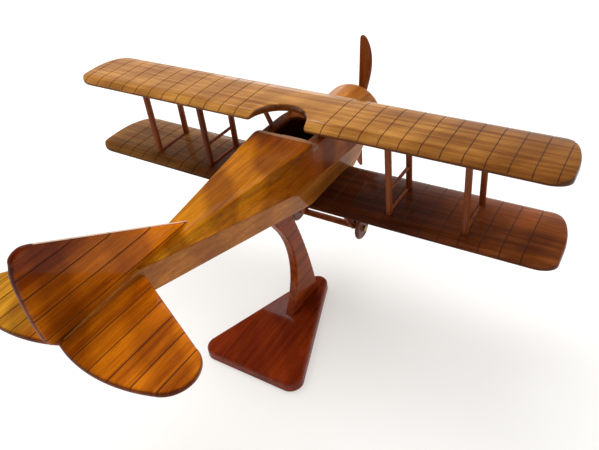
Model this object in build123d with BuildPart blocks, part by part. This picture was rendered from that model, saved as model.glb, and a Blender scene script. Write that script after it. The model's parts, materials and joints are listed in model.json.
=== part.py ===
from build123d import *

import os
from math import cos, radians, sin, tan

# Desk model of a two-bay biplane, carved from mahogany, on an arched stand. Units are mm.
# Frame: +Z up, nose towards -Y, port wing towards +X, origin on the table under the middle
# of the whole model.

# ---------------------------------------------------------------- driving dimensions
SIDES = {"port": 1, "starboard": -1}

# Stand: a triangular board, an arched flat post and a dowel that the fuselage drops onto.
BASE_THICKNESS = 9.0
BASE_HALF_WIDTH = 48.5
BASE_APEX_Y = -92.0
BASE_REAR_Y = 42.0
BASE_REAR_RADIUS = 10.0
BASE_APEX_RADIUS = 9.0
BASE_TOP_ROUND = 3.0
BASE_FOOT_CHAMFER = 0.4
POST_THICKNESS = 7.6
POST_FOOT_FRONT_Y = -60.5
POST_TOP_FRONT_Y = -31.8
POST_TOP_REAR_Y = -6.0
POST_REAR_ARC_RADIUS = 78.1
POST_REAR_ARC_CENTRE = (43.7, 55.2)
POST_REAR_ARC_TOP_Z = 98.0
POST_FRONT_MIDDLE = (-53.5, 50.0)
POST_EDGE_ROUND = 1.0
DOWEL_RADIUS = 2.0
DOWEL_Y = -22.0
DOWEL_LENGTH = 34.0
DOWEL_REACH = 15.0
SCREW_STATIONS = (-50.0, -32.0)
SCREW_HEAD_RADIUS = 3.2
SCREW_HEAD_DEPTH = 1.8
SCREW_HEAD_SINK = 0.4
SCREW_RADIUS = 1.4
SCREW_LENGTH = 24.0

# Fuselage: lower body below the side crease, upper deck above it, round nose cowl.
THRUST_Z = 136.5
NOSE_JOINT_Y = -121.0
STERN_Y = 161.0
DECK_END_Y = 108.0
COCKPIT_REAR_Y = -48.0
COCKPIT_FRONT_Y = -81.0
COCKPIT_HALF_WIDTH = 16.0
COCKPIT_CORNER = 7.0
SEAT_HALF_WIDTH = 11.0
SEAT_BACK_THICKNESS = 5.0
SEAT_PAN_DEPTH = 15.0
SEAT_PAN_Z = 147.0
SEAT_BACK_Z = 160.5
CREASE_HALF_WIDTH = 26.0
CREASE_KINK_Y = -16.0
CREASE_KINK_Z = 141.9
CREASE_RISE = 0.185
CREASE_NOSE_RISE = 0.087
CREASE_TAPER = 0.1686
SIDE_LEAN = 0.11
DECK_TOP_Z = 166.5
DECK_TOP_RISE = -0.0138
DECK_TOP_HALF_WIDTH = 19.2
DECK_TOP_TAPER = 0.1424
DECK_MAX_HALF_WIDTH = 25.2
DECK_LIP_RADIUS = 5.0
FRONT_DECK_Z = 163.6
BELLY_Z = 125.5
BELLY_RISE = 0.18
COWL_RADIUS = 26.0
COWL_FRONT_Y = -156.0
COWL_LIP_RADIUS = 8.0
BOSS_RADIUS = 5.5
BOSS_FRONT_Y = -160.0
SHOULDER_START = (NOSE_JOINT_Y, COWL_RADIUS + 0.2)
SHOULDER_MIDDLE = (-98.0, 33.4)
SHOULDER_END = (-55.0, 36.4)

# Wings
HALF_SPAN = 200.0
UPPER_LEADING_Y = -89.0
UPPER_TRAILING_Y = -37.0
UPPER_BOTTOM_Z = 179.6
LOWER_LEADING_Y = -98.0
LOWER_TRAILING_Y = -37.4
LOWER_BOTTOM_Z = 113.8
WING_THICKNESS = 6.4
WING_NOSE = 0.42
WING_REAR_TOP = 5.3
WING_REAR_SLOPE = 6.5
WING_EDGE = 1.6
TIP_FRONT_WIDTH = 18.0
TIP_FRONT_SHARE = 0.65
TIP_REAR_WIDTH = 14.0
TIP_REAR_DEPTH = 9.0
LOWER_DIHEDRAL = 0.55
CUTOUT_RADIUS = 22.5
CUTOUT_CORNER = 3.0
RIB_FIRST_X = 36.5
RIB_PITCH = 14.13
RIB_COUNT = 11
GROOVE_WIDTH = 0.6
GROOVE_DEPTH = 0.4

# Struts between the wings, and from the fuselage to the upper wing
BAYS = {"inner": 81.0, "outer": 137.2}
ROWS = {"front": -84.0, "rear": -49.5}
STRUT_LONG_RADIUS = 2.8
STRUT_SHORT_RADIUS = 2.3
SOCKET_DEPTH = 1.8
RAIL_HEIGHT = 19.5
RAIL_RADIUS = 1.3
SILL_WIDTH = 2.4
SILL_HEIGHT = 2.2
CABANE_ROWS = {"front": -87.0, "rear": -61.0}
CABANE_FOOT_X = 19.5
CABANE_TOP_X = 28.5
CABANE_RADIUS = 1.7

# Tail
TAIL_TOP_Z = 160.0
TAIL_THICKNESS = 4.0
TAIL_EDGE_ROUND = 1.4
TAIL_ROOT_FRONT_Y = 103.5
TAIL_LEADING_END = (66.0, 134.6)
TAIL_TIP = (77.4, 148.0)
TAIL_TRAILING_START = (66.0, 165.0)
TAIL_TRAILING_MIDDLE = (36.0, 170.0)
TAIL_ROOT_REAR_Y = 163.5
TAIL_RIB_FIRST_X = 15.5
TAIL_RIB_PITCH = 13.0
TAIL_RIB_COUNT = 5
FIN_THICKNESS = 4.6
FIN_RIB_HEIGHTS = (166.8, 180.9, 194.7, 206.2)
FIN_FOOT_Y = 62.5
FIN_SHOULDER = (154.0, 216.2)
FIN_REAR_Y = 171.0

# Landing gear
AXLE_Y = -95.0
AXLE_Z = 59.2
AXLE_RADIUS = 1.2
WHEEL_X = 32.0
WHEEL_RADIUS = 10.5
WHEEL_WIDTH = 4.6
LEG_ROWS = {"front": (-107.0, -96.6), "rear": (-66.0, -93.4)}
LEG_TOP_X = 14.0
LEG_FOOT_X = 25.0
LEG_RADIUS = 1.9
SPREADER_LONG_RADIUS = 3.6
SPREADER_SHORT_RADIUS = 2.1
SPREADER_HALF_LENGTH = 28.5
CAP_RADIUS = 2.6
CAP_THICKNESS = 2.0

# Propeller
BLADE_LENGTH = 65.8
# Blade stations: share of the length, chord, thickness, sweep towards the bulging edge, pitch
BLADE_STATIONS = (
    (0.06, 7.0, 5.4, 0.0, 50),
    (0.22, 7.6, 4.4, 0.6, 38),
    (0.45, 10.0, 3.2, 2.0, 26),
    (0.68, 10.6, 2.5, 2.2, 19),
    (0.87, 8.0, 2.0, 0.6, 15),
    (0.97, 4.2, 1.5, -1.2, 13),
)
BLADE_TILT = 5.0
HUB_RADIUS = 6.5
HUB_LENGTH = 7.0
WASHER_RADIUS = 4.0
WASHER_THICKNESS = 0.8
PIN_RADIUS = 1.5
PIN_HEAD_RADIUS = 3.6
PIN_DEPTH = 22.0
PIN_HEAD_HEIGHT = 2.9
PIN_HEAD_ROUND = 2.2
END_PLAY = 0.1
RUNNING_CLEARANCE = 0.05

os.makedirs("parts", exist_ok=True)


def finish(piece, label):
    """Label a finished piece and write its STEP file."""
    piece.label = label
    export_step(piece, f"parts/{label}.step")
    return piece


def crease_z(y):
    """Height of the crease along the fuselage side."""
    rise = CREASE_RISE if y > CREASE_KINK_Y else CREASE_NOSE_RISE
    return CREASE_KINK_Z + rise * (y - CREASE_KINK_Y)


def crease_half_width(y):
    return CREASE_HALF_WIDTH - CREASE_TAPER * max(0.0, y - CREASE_KINK_Y)


def deck_z(y):
    """Height of the flat top behind the cockpit."""
    return DECK_TOP_Z + DECK_TOP_RISE * y


def deck_half_width(y):
    return min(DECK_MAX_HALF_WIDTH, DECK_TOP_HALF_WIDTH - DECK_TOP_TAPER * y)


def belly_z(y):
    return BELLY_Z + BELLY_RISE * y


def trapezoid(low, high, low_half_width, high_half_width):
    """Four-sided fuselage section between a lower and an upper (y, z) point."""
    up = Vector(0, high[0] - low[0], high[1] - low[1])
    plane = Plane(origin=(0, *low), x_dir=(1, 0, 0), z_dir=Vector(1, 0, 0).cross(up))
    with BuildSketch(plane) as section:
        with BuildLine():
            Polyline(
                (-low_half_width, 0),
                (low_half_width, 0),
                (high_half_width, up.length),
                (-high_half_width, up.length),
                close=True,
            )
        make_face()
    return section.sketch


def wing_section(plane, chord, skin=0.0):
    """Flat-bottomed wing section, nose at the plane's origin; with skin, only its top layer."""
    nose = (0, WING_NOSE * WING_THICKNESS)
    slope_start = (chord - WING_REAR_SLOPE, WING_REAR_TOP)
    slope_middle = (chord - 0.4 * WING_REAR_SLOPE, 0.45 * WING_EDGE + 0.55 * WING_REAR_TOP)
    with BuildSketch(plane) as section:
        with BuildLine():
            Polyline((0.06 * chord, 0), (chord, 0), (chord, WING_EDGE))
            ThreePointArc((chord, WING_EDGE), slope_middle, slope_start)
            Spline(
                slope_start,
                (0.62 * chord, 0.95 * WING_THICKNESS),
                (0.30 * chord, WING_THICKNESS),
                (0.08 * chord, 0.80 * WING_THICKNESS),
                nose,
                tangents=((-1, 0.10), (0, -1)),
            )
            Spline(nose, (0.06 * chord, 0), tangents=((0, -1), (1, 0)))
        make_face()
        if skin:
            with Locations((0, -skin)):
                add(section.sketch_local, mode=Mode.SUBTRACT)
    return section.sketch


def wing_plan(leading_y, trailing_y):
    """Outline of the port half of a wing seen from above, starting 1 mm past the middle."""
    front_depth = TIP_FRONT_SHARE * (trailing_y - leading_y)
    front_centre = (HALF_SPAN - TIP_FRONT_WIDTH, leading_y + front_depth)
    rear_centre = (HALF_SPAN - TIP_REAR_WIDTH, trailing_y - TIP_REAR_DEPTH)
    with BuildSketch() as plan:
        with BuildLine():
            front = EllipticalCenterArc(front_centre, TIP_FRONT_WIDTH, front_depth, 270, arc_size=90)
            rear = EllipticalCenterArc(rear_centre, TIP_REAR_WIDTH, TIP_REAR_DEPTH, 0, arc_size=90)
            Line(front @ 1, rear @ 0)
            Polyline(rear @ 1, (-1, trailing_y), (-1, leading_y), front @ 0)
        make_face()
    return plan.sketch


def wing_top_z(y, leading_y, trailing_y, bottom_z):
    """Rough height of a wing's cambered top at a station along its chord."""
    share = (y - leading_y) / (trailing_y - leading_y)
    camber = WING_THICKNESS - (WING_THICKNESS - WING_REAR_TOP) * max(0.0, share - 0.3) / 0.6
    return bottom_z + camber


def lower_top_z(x, y):
    return wing_top_z(y, LOWER_LEADING_Y, LOWER_TRAILING_Y, LOWER_BOTTOM_Z) + abs(x) * tan(
        radians(LOWER_DIHEDRAL)
    )


def stick(start, end, long_radius, short_radius, long_way=(0, 1, 0)):
    """Oval stick between two points; its wider axis lies along long_way."""
    axis = Vector(*end) - Vector(*start)
    with BuildPart() as rod:
        with BuildSketch(Plane(origin=start, x_dir=long_way, z_dir=axis)):
            Ellipse(long_radius, short_radius)
        extrude(amount=axis.length)
    return rod.part


# ---------------------------------------------------------------- interplane struts
struts = {}
for side_name, side in SIDES.items():
    for bay_name, bay_x in BAYS.items():
        for row_name, row_y in ROWS.items():
            foot_z = lower_top_z(bay_x, row_y) - SOCKET_DEPTH
            with BuildPart() as strut:
                with BuildSketch(Plane.XY.offset(foot_z)):
                    with Locations((side * bay_x, row_y)):
                        Ellipse(STRUT_SHORT_RADIUS, STRUT_LONG_RADIUS)
                extrude(amount=UPPER_BOTTOM_Z + SOCKET_DEPTH - foot_z)
            label = f"strut_{side_name}_{bay_name}_{row_name}"
            struts[label] = finish(strut.part, label)

# Mid-height rails between the inner struts, and sills on the lower wing between all feet
sills = {}
for side_name, side in SIDES.items():
    front_y, rear_y = ROWS["front"], ROWS["rear"]
    rail_x = side * BAYS["inner"]
    rail_z = lower_top_z(rail_x, rear_y) + RAIL_HEIGHT
    rail_ends = [(rail_x, y, rail_z) for y in (front_y, rear_y)]
    rail_rod = stick(*rail_ends, RAIL_RADIUS, RAIL_RADIUS, (1, 0, 0))
    with BuildPart() as rail:
        add(rail_rod)
        for row_name in ROWS:
            add(struts[f"strut_{side_name}_inner_{row_name}"], mode=Mode.SUBTRACT)
    finish(rail.part, f"rail_{side_name}_inner")
    for bay_name, bay_x in BAYS.items():
        sill_z = lower_top_z(bay_x, rear_y) + SILL_HEIGHT / 2 - 0.4
        with BuildPart() as sill:
            with BuildSketch(Plane.XZ.offset(-rear_y)):
                with Locations((side * bay_x, sill_z)):
                    RectangleRounded(SILL_WIDTH, SILL_HEIGHT, 0.7)
            extrude(amount=rear_y - front_y)
            for row_name in ROWS:
                add(struts[f"strut_{side_name}_{bay_name}_{row_name}"], mode=Mode.SUBTRACT)
        label = f"sill_{side_name}_{bay_name}"
        sills[label] = finish(sill.part, label)

# Cabane struts splay outwards from the fuselage deck to the upper wing
cabanes = {}
for side_name, side in SIDES.items():
    for row_name, row_y in CABANE_ROWS.items():
        foot = Vector(side * CABANE_FOOT_X, row_y, FRONT_DECK_Z - 4.0)
        top = Vector(side * CABANE_TOP_X, row_y, UPPER_BOTTOM_Z + SOCKET_DEPTH)
        with BuildPart() as cabane:
            add(stick(foot, top, CABANE_RADIUS * 1.15, CABANE_RADIUS))
        label = f"cabane_{side_name}_{row_name}"
        cabanes[label] = finish(cabane.part, label)

# ---------------------------------------------------------------- wings
def rib_stations():
    """Distances of the scribed rib lines from the middle of a wing."""
    return [RIB_FIRST_X + RIB_PITCH * count for count in range(RIB_COUNT)]


def scribe(root, span_direction, distance, chord):
    """Cut one rib line across a wing's top, square to its span."""
    start = root + span_direction * (distance - GROOVE_WIDTH / 2)
    plane = Plane(origin=start, x_dir=(0, 1, 0), z_dir=span_direction)
    extrude(wing_section(plane, chord, GROOVE_DEPTH), amount=GROOVE_WIDTH, mode=Mode.SUBTRACT)


upper_chord = UPPER_TRAILING_Y - UPPER_LEADING_Y
upper_plan = wing_plan(UPPER_LEADING_Y, UPPER_TRAILING_Y)
upper_root = Vector(0, UPPER_LEADING_Y, UPPER_BOTTOM_Z)
span_right = Vector(1, 0, 0)
with BuildPart() as upper_wing:
    tip_plane = Plane(origin=upper_root - span_right * HALF_SPAN, x_dir=(0, 1, 0), z_dir=span_right)
    extrude(wing_section(tip_plane, upper_chord), amount=2 * HALF_SPAN)
    with BuildSketch(Plane.XY.offset(UPPER_BOTTOM_Z - 1)) as outline:
        add(upper_plan)
        add(mirror(upper_plan, about=Plane.YZ))
        with Locations((0, UPPER_TRAILING_Y)):
            Circle(CUTOUT_RADIUS, mode=Mode.SUBTRACT)
        notch = outline.vertices().filter_by(lambda v: abs(abs(v.X) - CUTOUT_RADIUS) < 0.01)
        fillet(notch, CUTOUT_CORNER)
    extrude(amount=WING_THICKNESS + 2, mode=Mode.INTERSECT)
    for station in rib_stations():
        for side in SIDES.values():
            scribe(upper_root, span_right, side * station, upper_chord)
    for post in [*struts.values(), *cabanes.values()]:
        add(post, mode=Mode.SUBTRACT)
finish(upper_wing.part, "upper_wing")

# The lower wing's halves meet under the fuselage and rise slightly towards the tips
lower_chord = LOWER_TRAILING_Y - LOWER_LEADING_Y
lower_plan = wing_plan(LOWER_LEADING_Y, LOWER_TRAILING_Y)
lower_wings = {}
for side_name, side in SIDES.items():
    tilt = radians(LOWER_DIHEDRAL)
    right = Vector(cos(tilt), 0, side * sin(tilt))
    upright = Vector(-side * sin(tilt), 0, cos(tilt))
    root = Vector(0, LOWER_LEADING_Y, LOWER_BOTTOM_Z)
    left_end = -1.0 if side > 0 else -HALF_SPAN
    with BuildPart() as lower_wing:
        left_plane = Plane(origin=root + right * left_end, x_dir=(0, 1, 0), z_dir=right)
        extrude(wing_section(left_plane, lower_chord), amount=HALF_SPAN + 1.0)
        with BuildSketch(Plane(origin=(0, 0, LOWER_BOTTOM_Z - 1), x_dir=right, z_dir=upright)):
            add(lower_plan if side > 0 else mirror(lower_plan, about=Plane.YZ))
        extrude(amount=WING_THICKNESS + 2, mode=Mode.INTERSECT)
        split(bisect_by=Plane.YZ, keep=Keep.TOP if side > 0 else Keep.BOTTOM)
        for station in rib_stations():
            scribe(root, right, side * station, lower_chord)
        for label, piece in [*struts.items(), *sills.items()]:
            if side_name in label:
                add(piece, mode=Mode.SUBTRACT)
    label = f"lower_wing_{side_name}"
    lower_wings[label] = finish(lower_wing.part, label)

# ---------------------------------------------------------------- stand
post_top_front = (POST_TOP_FRONT_Y, belly_z(POST_TOP_FRONT_Y))
post_top_rear = (POST_TOP_REAR_Y, belly_z(POST_TOP_REAR_Y))


def post_rear_y(z):
    """Station of the post's hollow rear edge at a height."""
    centre_y, centre_z = POST_REAR_ARC_CENTRE
    return centre_y - (POST_REAR_ARC_RADIUS**2 - (z - centre_z) ** 2) ** 0.5


dowel_low_z = belly_z(DOWEL_Y) + DOWEL_REACH - DOWEL_LENGTH
with BuildPart() as stand_dowel:
    with BuildSketch(Plane.XY.offset(dowel_low_z)):
        with Locations((0, DOWEL_Y)):
            Circle(DOWEL_RADIUS)
    extrude(amount=DOWEL_LENGTH)
    chamfer(stand_dowel.edges().group_by(Axis.Z)[-1], 0.5)
finish(stand_dowel.part, "stand_dowel")

with BuildPart() as stand_screws:
    for station in SCREW_STATIONS:
        with BuildSketch(Plane.XY.offset(SCREW_HEAD_SINK)):
            with Locations((0, station)):
                Circle(SCREW_HEAD_RADIUS)
        extrude(amount=SCREW_HEAD_DEPTH, taper=45)
        with BuildSketch(Plane.XY.offset(SCREW_HEAD_SINK)):
            with Locations((0, station)):
                Circle(SCREW_RADIUS)
        extrude(amount=SCREW_LENGTH)
        with Locations((0, station, SCREW_HEAD_SINK)):
            Box(1.6 * SCREW_HEAD_RADIUS, 0.8, 1.2, mode=Mode.SUBTRACT)
finish(stand_screws.part, "stand_screws")

with BuildPart() as stand_base:
    with BuildSketch() as outline:
        with BuildLine():
            Polyline(
                (0, BASE_APEX_Y),
                (BASE_HALF_WIDTH, BASE_REAR_Y),
                (-BASE_HALF_WIDTH, BASE_REAR_Y),
                close=True,
            )
        make_face()
        fillet(outline.vertices().group_by(Axis.Y)[-1], BASE_REAR_RADIUS)
        fillet(outline.vertices().sort_by(Axis.Y)[0], BASE_APEX_RADIUS)
    extrude(amount=BASE_THICKNESS)
    fillet(stand_base.edges().group_by(Axis.Z)[-1], BASE_TOP_ROUND)
    chamfer(stand_base.edges().group_by(Axis.Z)[0], BASE_FOOT_CHAMFER)
    with BuildSketch():
        with Locations(*[(0, station) for station in SCREW_STATIONS]):
            Circle(SCREW_HEAD_RADIUS)
    extrude(amount=SCREW_HEAD_SINK, mode=Mode.SUBTRACT)
    with BuildSketch(Plane.XY.offset(SCREW_HEAD_SINK)):
        with Locations(*[(0, station) for station in SCREW_STATIONS]):
            Circle(SCREW_HEAD_RADIUS)
    extrude(amount=SCREW_HEAD_DEPTH, taper=45, mode=Mode.SUBTRACT)
    with BuildSketch():
        with Locations(*[(0, station) for station in SCREW_STATIONS]):
            Circle(SCREW_RADIUS)
    extrude(amount=BASE_THICKNESS, mode=Mode.SUBTRACT)
finish(stand_base.part, "stand_base")

with BuildPart() as stand_post:
    arc_top = (post_rear_y(POST_REAR_ARC_TOP_Z), POST_REAR_ARC_TOP_Z)
    arc_middle = (post_rear_y(POST_REAR_ARC_CENTRE[1]), POST_REAR_ARC_CENTRE[1])
    arc_foot = (post_rear_y(BASE_THICKNESS), BASE_THICKNESS)
    with BuildSketch(Plane.YZ.offset(-POST_THICKNESS / 2)):
        with BuildLine():
            ThreePointArc((POST_FOOT_FRONT_Y, BASE_THICKNESS), POST_FRONT_MIDDLE, post_top_front)
            Polyline(post_top_front, post_top_rear, arc_top)
            ThreePointArc(arc_top, arc_middle, arc_foot)
            Line(arc_foot, (POST_FOOT_FRONT_Y, BASE_THICKNESS))
        make_face()
    extrude(amount=POST_THICKNESS)
    low_z, high_z = BASE_THICKNESS + 1, post_top_front[1] - 1
    long_edges = stand_post.edges().filter_by(lambda e: low_z < e.center().Z < high_z)
    fillet(long_edges, POST_EDGE_ROUND)
    add([stand_dowel.part, stand_screws.part], mode=Mode.SUBTRACT)
finish(stand_post.part, "stand_post")

# ---------------------------------------------------------------- tail
with BuildPart() as tailplane:
    with BuildSketch(Plane.XY.offset(TAIL_TOP_Z - TAIL_THICKNESS)):
        with BuildLine():
            Line((0, TAIL_ROOT_FRONT_Y), TAIL_LEADING_END)
            ThreePointArc(TAIL_LEADING_END, TAIL_TIP, TAIL_TRAILING_START)
            ThreePointArc(TAIL_TRAILING_START, TAIL_TRAILING_MIDDLE, (0, TAIL_ROOT_REAR_Y))
            Line((0, TAIL_ROOT_REAR_Y), (0, TAIL_ROOT_FRONT_Y))
        make_face()
        mirror(about=Plane.YZ)
    extrude(amount=TAIL_THICKNESS)
    fillet(tailplane.edges().group_by(Axis.Z)[0], TAIL_EDGE_ROUND)
    fillet(tailplane.edges().group_by(Axis.Z)[-1], TAIL_EDGE_ROUND)
    for count in range(TAIL_RIB_COUNT):
        for side in SIDES.values():
            rib_x = side * (TAIL_RIB_FIRST_X + TAIL_RIB_PITCH * count)
            with Locations((rib_x, TAIL_LEADING_END[1], TAIL_TOP_Z)):
                Box(GROOVE_WIDTH, 90, 2 * GROOVE_DEPTH, mode=Mode.SUBTRACT)
finish(tailplane.part, "tailplane")


def spine_z(y):
    """Height of the narrow spine between the end of the deck and the stern."""
    share = (y - DECK_END_Y) / (STERN_Y - DECK_END_Y)
    return deck_z(DECK_END_Y) + share * (TAIL_TOP_Z + 0.6 - deck_z(DECK_END_Y))


with BuildPart() as fin_and_rudder:
    with BuildSketch(Plane.YZ.offset(-FIN_THICKNESS / 2)):
        with BuildLine():
            Polyline(
                FIN_SHOULDER,
                (FIN_FOOT_Y, deck_z(FIN_FOOT_Y)),
                (DECK_END_Y, deck_z(DECK_END_Y)),
                (STERN_Y, spine_z(STERN_Y)),
                (FIN_REAR_Y - 4.0, TAIL_TOP_Z + 1.0),
                (FIN_REAR_Y - 1.8, 166.0),
            )
            Spline(
                (FIN_REAR_Y - 1.8, 166.0),
                (FIN_REAR_Y - 0.5, 190.0),
                (FIN_REAR_Y - 0.7, 204.5),
                (FIN_REAR_Y - 3.2, 213.8),
                (FIN_REAR_Y - 8.6, 218.0),
                FIN_SHOULDER,
            )
        make_face()
    extrude(amount=FIN_THICKNESS)
    for face in fin_and_rudder.faces().sort_by(Axis.X)[:: len(fin_and_rudder.faces()) - 1]:
        rim = face.edges().filter_by(lambda e: e.center().Z > deck_z(DECK_END_Y) + 3)
        fillet(rim, TAIL_EDGE_ROUND)
    for height in FIN_RIB_HEIGHTS:
        for side in SIDES.values():
            with Locations((side * FIN_THICKNESS / 2, 120, height)):
                Box(2 * GROOVE_DEPTH, 120, GROOVE_WIDTH, mode=Mode.SUBTRACT)
finish(fin_and_rudder.part, "fin_and_rudder")

# ---------------------------------------------------------------- fuselage
front_lean = SIDE_LEAN * (CREASE_KINK_Z - belly_z(LOWER_TRAILING_Y))
tail_half = crease_half_width(DECK_END_Y)
thrust_line = Axis((0, 0, THRUST_Z), (0, 1, 0))
thrust_plane = Plane(origin=(0, 0, THRUST_Z), x_dir=(0, 1, 0), z_dir=(1, 0, 0))

# Half profile, turned about the thrust line, that rounds the faceted nose down to the cowl
with BuildSketch(thrust_plane) as shoulder_profile:
    with BuildLine():
        ThreePointArc(SHOULDER_START, SHOULDER_MIDDLE, SHOULDER_END)
        Polyline(SHOULDER_END, (STERN_Y + 1, 90.0), (STERN_Y + 1, 0), (NOSE_JOINT_Y, 0), SHOULDER_START)
    make_face()

with BuildPart() as fuselage_body:
    nose = trapezoid(
        (NOSE_JOINT_Y, THRUST_Z - COWL_RADIUS),
        (NOSE_JOINT_Y, crease_z(NOSE_JOINT_Y)),
        CREASE_HALF_WIDTH - front_lean,
        CREASE_HALF_WIDTH,
    )
    kink = trapezoid(
        (LOWER_TRAILING_Y, belly_z(LOWER_TRAILING_Y)),
        (CREASE_KINK_Y, CREASE_KINK_Z),
        CREASE_HALF_WIDTH - front_lean,
        CREASE_HALF_WIDTH,
    )
    deck_end = trapezoid(
        (DECK_END_Y, belly_z(DECK_END_Y)), (DECK_END_Y, crease_z(DECK_END_Y)), tail_half - 1.4, tail_half
    )
    stern = trapezoid((STERN_Y, belly_z(STERN_Y)), (STERN_Y, spine_z(STERN_Y)), 2.2, 2.6)
    loft([nose, kink, deck_end, stern], ruled=True)
    revolve(shoulder_profile.sketch, axis=thrust_line, mode=Mode.INTERSECT)
    for wing in lower_wings.values():
        add(wing, mode=Mode.SUBTRACT)
    add(tailplane.part, mode=Mode.SUBTRACT)
    with BuildSketch(Plane.XY.offset(belly_z(DOWEL_Y) - 5)):
        with Locations((0, DOWEL_Y)):
            Circle(DOWEL_RADIUS + RUNNING_CLEARANCE)
    extrude(amount=DOWEL_REACH + 6, mode=Mode.SUBTRACT)
finish(fuselage_body.part, "fuselage_body")

# The flat deck behind the cockpit stands a little proud of the front one, with a rounded lip
deck_sections = []
for y in (COCKPIT_REAR_Y, CREASE_KINK_Y, DECK_END_Y):
    deck_sections.append(
        trapezoid((y, crease_z(y)), (y, deck_z(y)), crease_half_width(y), deck_half_width(y))
    )
with BuildPart() as rear_deck:
    loft(deck_sections, ruled=True)
    lip = rear_deck.faces().sort_by(Axis.Y)[0].edges()
    fillet(lip.filter_by(lambda e: abs((e @ 1 - e @ 0).Z) > 10), DECK_LIP_RADIUS)
    crown = rear_deck.faces().sort_by(Axis.Z)[-1].edges()
    fillet(crown.filter_by(lambda e: e.center().Y < CREASE_KINK_Y - 25), 1.6)

with BuildPart() as upper_deck:
    nose = trapezoid(
        (NOSE_JOINT_Y, crease_z(NOSE_JOINT_Y)),
        (NOSE_JOINT_Y, FRONT_DECK_Z),
        CREASE_HALF_WIDTH,
        DECK_MAX_HALF_WIDTH,
    )
    lip_rear_y = COCKPIT_REAR_Y + DECK_LIP_RADIUS + 1.0
    lip_rear = trapezoid(
        (lip_rear_y, crease_z(lip_rear_y)),
        (lip_rear_y, FRONT_DECK_Z),
        CREASE_HALF_WIDTH,
        DECK_MAX_HALF_WIDTH,
    )
    loft([nose, lip_rear], ruled=True)
    revolve(shoulder_profile.sketch, axis=thrust_line, mode=Mode.INTERSECT)
    add(rear_deck.part)
    with BuildSketch(Plane.XY.offset(THRUST_Z - 10)):
        with Locations((0, (COCKPIT_FRONT_Y + COCKPIT_REAR_Y) / 2)):
            RectangleRounded(
                2 * COCKPIT_HALF_WIDTH, COCKPIT_REAR_Y - COCKPIT_FRONT_Y, COCKPIT_CORNER
            )
    extrude(amount=60, mode=Mode.SUBTRACT)
    for cabane in cabanes.values():
        add(cabane, mode=Mode.SUBTRACT)
finish(upper_deck.part, "upper_deck")

with BuildPart() as pilot_seat:
    back_y = COCKPIT_REAR_Y - 0.4
    front_y = back_y - SEAT_PAN_DEPTH
    with BuildSketch(Plane.YZ.offset(-SEAT_HALF_WIDTH)):
        with BuildLine():
            Polyline(
                (back_y, crease_z(back_y)),
                (back_y, SEAT_BACK_Z),
                (back_y - 0.6 * SEAT_BACK_THICKNESS, SEAT_BACK_Z),
                (back_y - SEAT_BACK_THICKNESS, SEAT_PAN_Z),
                (front_y, SEAT_PAN_Z),
                (front_y, crease_z(front_y)),
                close=True,
            )
        make_face()
    extrude(amount=2 * SEAT_HALF_WIDTH)
    fillet(pilot_seat.edges().filter_by(Axis.X).group_by(Axis.Z)[-1], 1.0)
finish(pilot_seat.part, "pilot_seat")

with BuildPart() as nose_cowl:
    with BuildSketch(thrust_plane):
        lip_y = COWL_FRONT_Y + COWL_LIP_RADIUS
        lip_centre = (lip_y, COWL_RADIUS - COWL_LIP_RADIUS)
        with BuildLine():
            Polyline((NOSE_JOINT_Y, 0), (NOSE_JOINT_Y, COWL_RADIUS), (lip_y, COWL_RADIUS))
            CenterArc(lip_centre, COWL_LIP_RADIUS, 90, 90)
            Polyline(
                (COWL_FRONT_Y, COWL_RADIUS - COWL_LIP_RADIUS),
                (COWL_FRONT_Y - 1.2, BOSS_RADIUS),
                (BOSS_FRONT_Y, BOSS_RADIUS),
                (BOSS_FRONT_Y, 0),
                (NOSE_JOINT_Y, 0),
            )
        make_face()
    revolve(axis=thrust_line)
    with BuildSketch(Plane(origin=(0, BOSS_FRONT_Y, THRUST_Z), z_dir=(0, 1, 0))):
        Circle(PIN_RADIUS)
    extrude(amount=PIN_DEPTH, mode=Mode.SUBTRACT)
finish(nose_cowl.part, "nose_cowl")

# ---------------------------------------------------------------- propeller
washer_y = BOSS_FRONT_Y - END_PLAY
hub_rear_y = washer_y - WASHER_THICKNESS - END_PLAY
hub_front_y = hub_rear_y - HUB_LENGTH
blade_y = hub_rear_y - HUB_LENGTH / 2

with BuildPart() as propeller:
    with BuildSketch(Plane(origin=(0, hub_front_y, THRUST_Z), z_dir=(0, 1, 0))):
        Circle(HUB_RADIUS)
    extrude(amount=HUB_LENGTH)
    fillet(propeller.edges().filter_by(GeomType.CIRCLE), 1.2)
    for turn in (BLADE_TILT, BLADE_TILT + 180):
        outward = Vector(-sin(radians(turn)), 0, cos(radians(turn)))
        across = Vector(-cos(radians(turn)), 0, -sin(radians(turn)))
        centre = Vector(0, blade_y, THRUST_Z)
        sections = []
        for share, chord, thickness, sweep, pitch in reversed(BLADE_STATIONS):
            place = centre + outward * (share * BLADE_LENGTH) + across * sweep
            chordwise = across.rotate(Axis((0, 0, 0), tuple(outward)), pitch)
            blade_plane = Plane(origin=place, x_dir=chordwise, z_dir=outward)
            with BuildSketch(blade_plane, mode=Mode.PRIVATE) as station:
                Ellipse(chord / 2, thickness / 2)
            sections.append(station.sketch)
        loft(sections)
    with BuildSketch(Plane(origin=(0, hub_front_y, THRUST_Z), z_dir=(0, 1, 0))):
        Circle(PIN_RADIUS + RUNNING_CLEARANCE)
    extrude(amount=HUB_LENGTH, mode=Mode.SUBTRACT)
finish(propeller.part, "propeller")

with BuildPart() as propeller_washer:
    with BuildSketch(Plane(origin=(0, washer_y - WASHER_THICKNESS, THRUST_Z), z_dir=(0, 1, 0))):
        Circle(WASHER_RADIUS)
        Circle(PIN_RADIUS + RUNNING_CLEARANCE, mode=Mode.SUBTRACT)
    extrude(amount=WASHER_THICKNESS)
finish(propeller_washer.part, "propeller_washer")

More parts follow.
